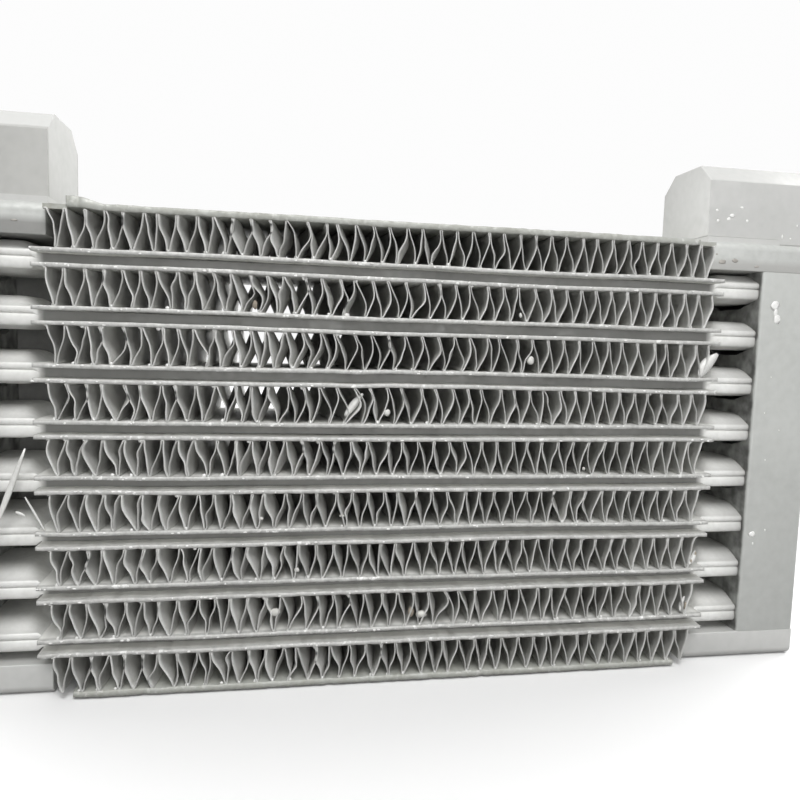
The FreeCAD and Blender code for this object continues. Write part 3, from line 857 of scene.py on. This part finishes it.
def burrs(name, tube, count, draws):
    """Bright burrs along the front edge of a sheet, most of them left of the middle."""
    low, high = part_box(name)
    places = []
    for share in draws.uniform(0, 1, count) ** 1.25:
        x = low.x + (high.x - low.x) * share
        level = (low.z + high.z) / 2 + lift(x, tube) + draws.uniform(-0.25, 0.25) * MM
        size = (draws.uniform(0.4, 1.1), 0.24, draws.uniform(0.3, 0.6))
        places.append(((x / MM, BURR_Y, level / MM), size))
    return places


draws = np.random.default_rng(90)
spots("fillets", [f for n in ROWS for f in fillets(n, draws)], SOLDER, 91)
for place in ("upper", "lower"):
    marks = [b for n in TUBES for b in burrs(f"{place}_sheet_{n}", n, 20, draws)]
    spots(f"{place}-burrs", marks, CHIP, 92)


# Beads that fill the grooves under the port blocks, and webs that close the gaps between the
# top plate's ends and the end bars. Corners are in millimetres, for the right side.

BLOCK_HEIGHT = 18.6
GROOVE_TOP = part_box("port_block_right")[1].z / MM - BLOCK_HEIGHT
BEAD = (77.64, -11.2, GROOVE_TOP - 1.4), (97.9, 11.2, GROOVE_TOP - 0.02)
WEB = (72.75, -14.8, 107.45), (77.6, 12.5, 108.5)


def filler(name, side, low, high, material, slot):
    """Plain block between two corners given for the right, on the side -1 or 1."""
    mesh = bpy.data.meshes.new(name)
    shell = bmesh.new()
    bmesh.ops.create_cube(shell, size=1.0)
    low, high = Vector(low), Vector(high)
    size = (high - low) * MM
    place = (low + high) / 2 * MM
    place.x *= side
    bmesh.ops.transform(shell, matrix=Matrix.Diagonal((*size, 1.0)), verts=shell.verts)
    bmesh.ops.translate(shell, vec=place, verts=shell.verts)
    shell.to_mesh(mesh)
    shell.free()
    add_piece(name, mesh, material, [])


for hand, side in (("left", -1), ("right", 1)):
    filler(f"groove-bead-{hand}", side, *BEAD, BLOCK_METAL, "port_block")
    filler(f"corner-web-{hand}", side, *WEB, PLATE_METAL, "side_plate")


# Torn foil and straws, with places and sizes in millimetres


def flap(name, start, end, width, curl):
    """Torn bit of fin foil: a leaf between two points that curls about its length.

    Its width is a sine wave along it, and it curls by a parabola across.
    """
    stations, points = 9, 5
    along = np.linspace(0, 1, stations)[:, None, None]
    across = np.linspace(-1, 1, points)[None, :, None]
    start, end = np.array(start) * MM, np.array(end) * MM
    spine = start + (end - start) * along
    aside = np.cross(end - start, (0, 1, 0))
    aside = aside / np.linalg.norm(aside)
    wide = width * MM / 2 * np.sin(np.pi * (0.12 + 0.8 * along))
    bent = np.array((0, 1, 0)) * curl * MM * across**2 * np.sin(np.pi * along)
    face = spine + aside * wide * across + bent
    back = face + np.array((0, FOIL, 0))
    ring = np.concatenate([face, back[:, ::-1]], 1)
    faces = closed_tube_faces(stations, 2 * points)
    link_mesh(name, ring, faces, FIN_METAL, [])


flap("flap-row-3", (74.8, -15.75, 75.4), (79.6, -15.5, 81.0), 3.2, 0.9)
flap("flap-row-7", (75.6, -15.3, 26.9), (77.6, -14.9, 30.4), 1.4, -0.6)
flap("flap-row-8", (74.2, -15.4, 14.6), (75.4, -15.0, 18.4), 1.2, 0.5)
flap("straw", (-88.6, -13.6, 39.2), (-82.3, -13.8, 56.4), 1.3, 0.2)
flap("thin-straw", (-82.3, -14.4, 45.9), (-78.1, -14.8, 38.2), 0.5, 0.1)
flap("straw-bit", (-84.6, -13.4, 42.4), (-82.6, -13.4, 41.4), 0.7, 0.1)
flap("flap-row-4", (-13.4, -15.5, 64.4), (-9.4, -15.2, 69.6), 1.8, 0.7)

INNER_METAL = metal("inner fin metal", (0.5, 0.5, 0.48), (0.4, 0.4, 0.38), 0.5, 0.4)
for n in TUBES:
    plain(f"turbulator_{n}", INNER_METAL)


# Studio


def camera_only(tree):
    """1 for camera and mirror rays, 0 for the light that falls on the object."""
    path = tree.nodes.new("ShaderNodeLightPath")
    return math_node(tree, "MAXIMUM", path.outputs["Is Camera Ray"], path.outputs["Is Glossy Ray"])


def studio_floor():
    """Pale floor that the cooler stands on, which throws little light back up.

    For the camera it glows more with the distance, so that it fades into the white.
    """
    for_light, for_camera = (0.08, 0.08, 0.08), (0.93, 0.93, 0.93)
    glow_from, glow_full, glow = 0.25, 0.8, 0.55
    half = 4.0
    material = bpy.data.materials.new("pale floor")
    material.use_nodes = True
    tree = material.node_tree
    shader = tree.nodes["Principled BSDF"]
    shader.inputs["Roughness"].default_value = 0.8
    seen = mixed(tree, camera_only(tree), for_light, for_camera)
    tree.links.new(seen, shader.inputs["Base Color"])
    away = tree.nodes.new("ShaderNodeVectorMath")
    away.operation = "LENGTH"
    tree.links.new(tree.nodes.new("ShaderNodeTexCoord").outputs["Object"], away.inputs[0])
    rise = ramp(tree, away.outputs["Value"], glow_from, glow_full)
    far = math_node(tree, "MULTIPLY", rise, glow)
    far = math_node(tree, "MULTIPLY", far, camera_only(tree))
    shader.inputs["Emission Color"].default_value = (1, 1, 1, 1)
    tree.links.new(far, shader.inputs["Emission Strength"])
    mesh = bpy.data.meshes.new("floor")
    corners = [(-half, -half, 0), (half, -half, 0), (half, half, 0), (-half, half, 0)]
    mesh.from_pydata(corners, [], [(0, 1, 2, 3)])
    mesh.materials.append(material)
    floor = bpy.data.objects.new("floor", mesh)
    bpy.context.scene.collection.objects.link(floor)


def soft_lamp(name, place, target, size, power):
    """Square soft lamp at a place, turned to a target: side in metres, power in watts."""
    lamp = bpy.data.lights.new(name, "AREA")
    lamp.shape = "SQUARE"
    lamp.size = size
    lamp.energy = power
    holder = bpy.data.objects.new(name, lamp)
    holder.location = place
    aim = Vector(target) - Vector(place)
    holder.rotation_mode = "QUATERNION"
    holder.rotation_quaternion = aim.to_track_quat("-Z", "Y")
    bpy.context.scene.collection.objects.link(holder)


def studio_sky():
    """White surroundings: bright where the camera sees them, softer as a light."""
    world = bpy.data.worlds.new("studio")
    bpy.context.scene.world = world
    world.use_nodes = True
    tree = world.node_tree
    background = tree.nodes["Background"]
    background.inputs["Color"].default_value = (1, 1, 1, 1)
    level = tree.nodes.new("ShaderNodeMapRange")
    level.inputs["To Min"].default_value = 0.45
    level.inputs["To Max"].default_value = 0.98
    tree.links.new(camera_only(tree), level.inputs["Value"])
    tree.links.new(level.outputs["Result"], background.inputs["Strength"])


studio_floor()
studio_sky()
soft_lamp("key", (-0.02, -0.42, 0.72), (0, 0, 0.07), 0.4, 4.0)
soft_lamp("fill", (0.16, -0.75, 0.12), (0, 0, 0.06), 0.4, 1.5)
soft_lamp("left side", (-0.75, 0.35, 0.45), (0, 0, 0.1), 0.5, 4.0)
soft_lamp("right side", (0.75, 0.35, 0.45), (0, 0, 0.1), 0.5, 5.0)

# The photograph's camera: its right, up and back directions and its place, fitted to the
# cooler's straight edges
camera_data = bpy.data.cameras.new("camera")
camera_data.sensor_width = 36
camera_data.lens = 30.3
camera_data.clip_start = 0.01
camera_data.clip_end = 50
camera = bpy.data.objects.new("camera", camera_data)
turn = Matrix(
    ((0.9859, -0.0143, -0.1668), (-0.1648, 0.0923, -0.9820), (0.0294, 0.9956, 0.0886))
)
camera.rotation_mode = "QUATERNION"
camera.rotation_quaternion = turn.to_quaternion()
camera.location = (-26.8 * MM, -169.0 * MM, 82.15 * MM)
bpy.context.scene.collection.objects.link(camera)
bpy.context.scene.camera = camera
bpy.context.scene.view_settings.view_transform = "Standard"
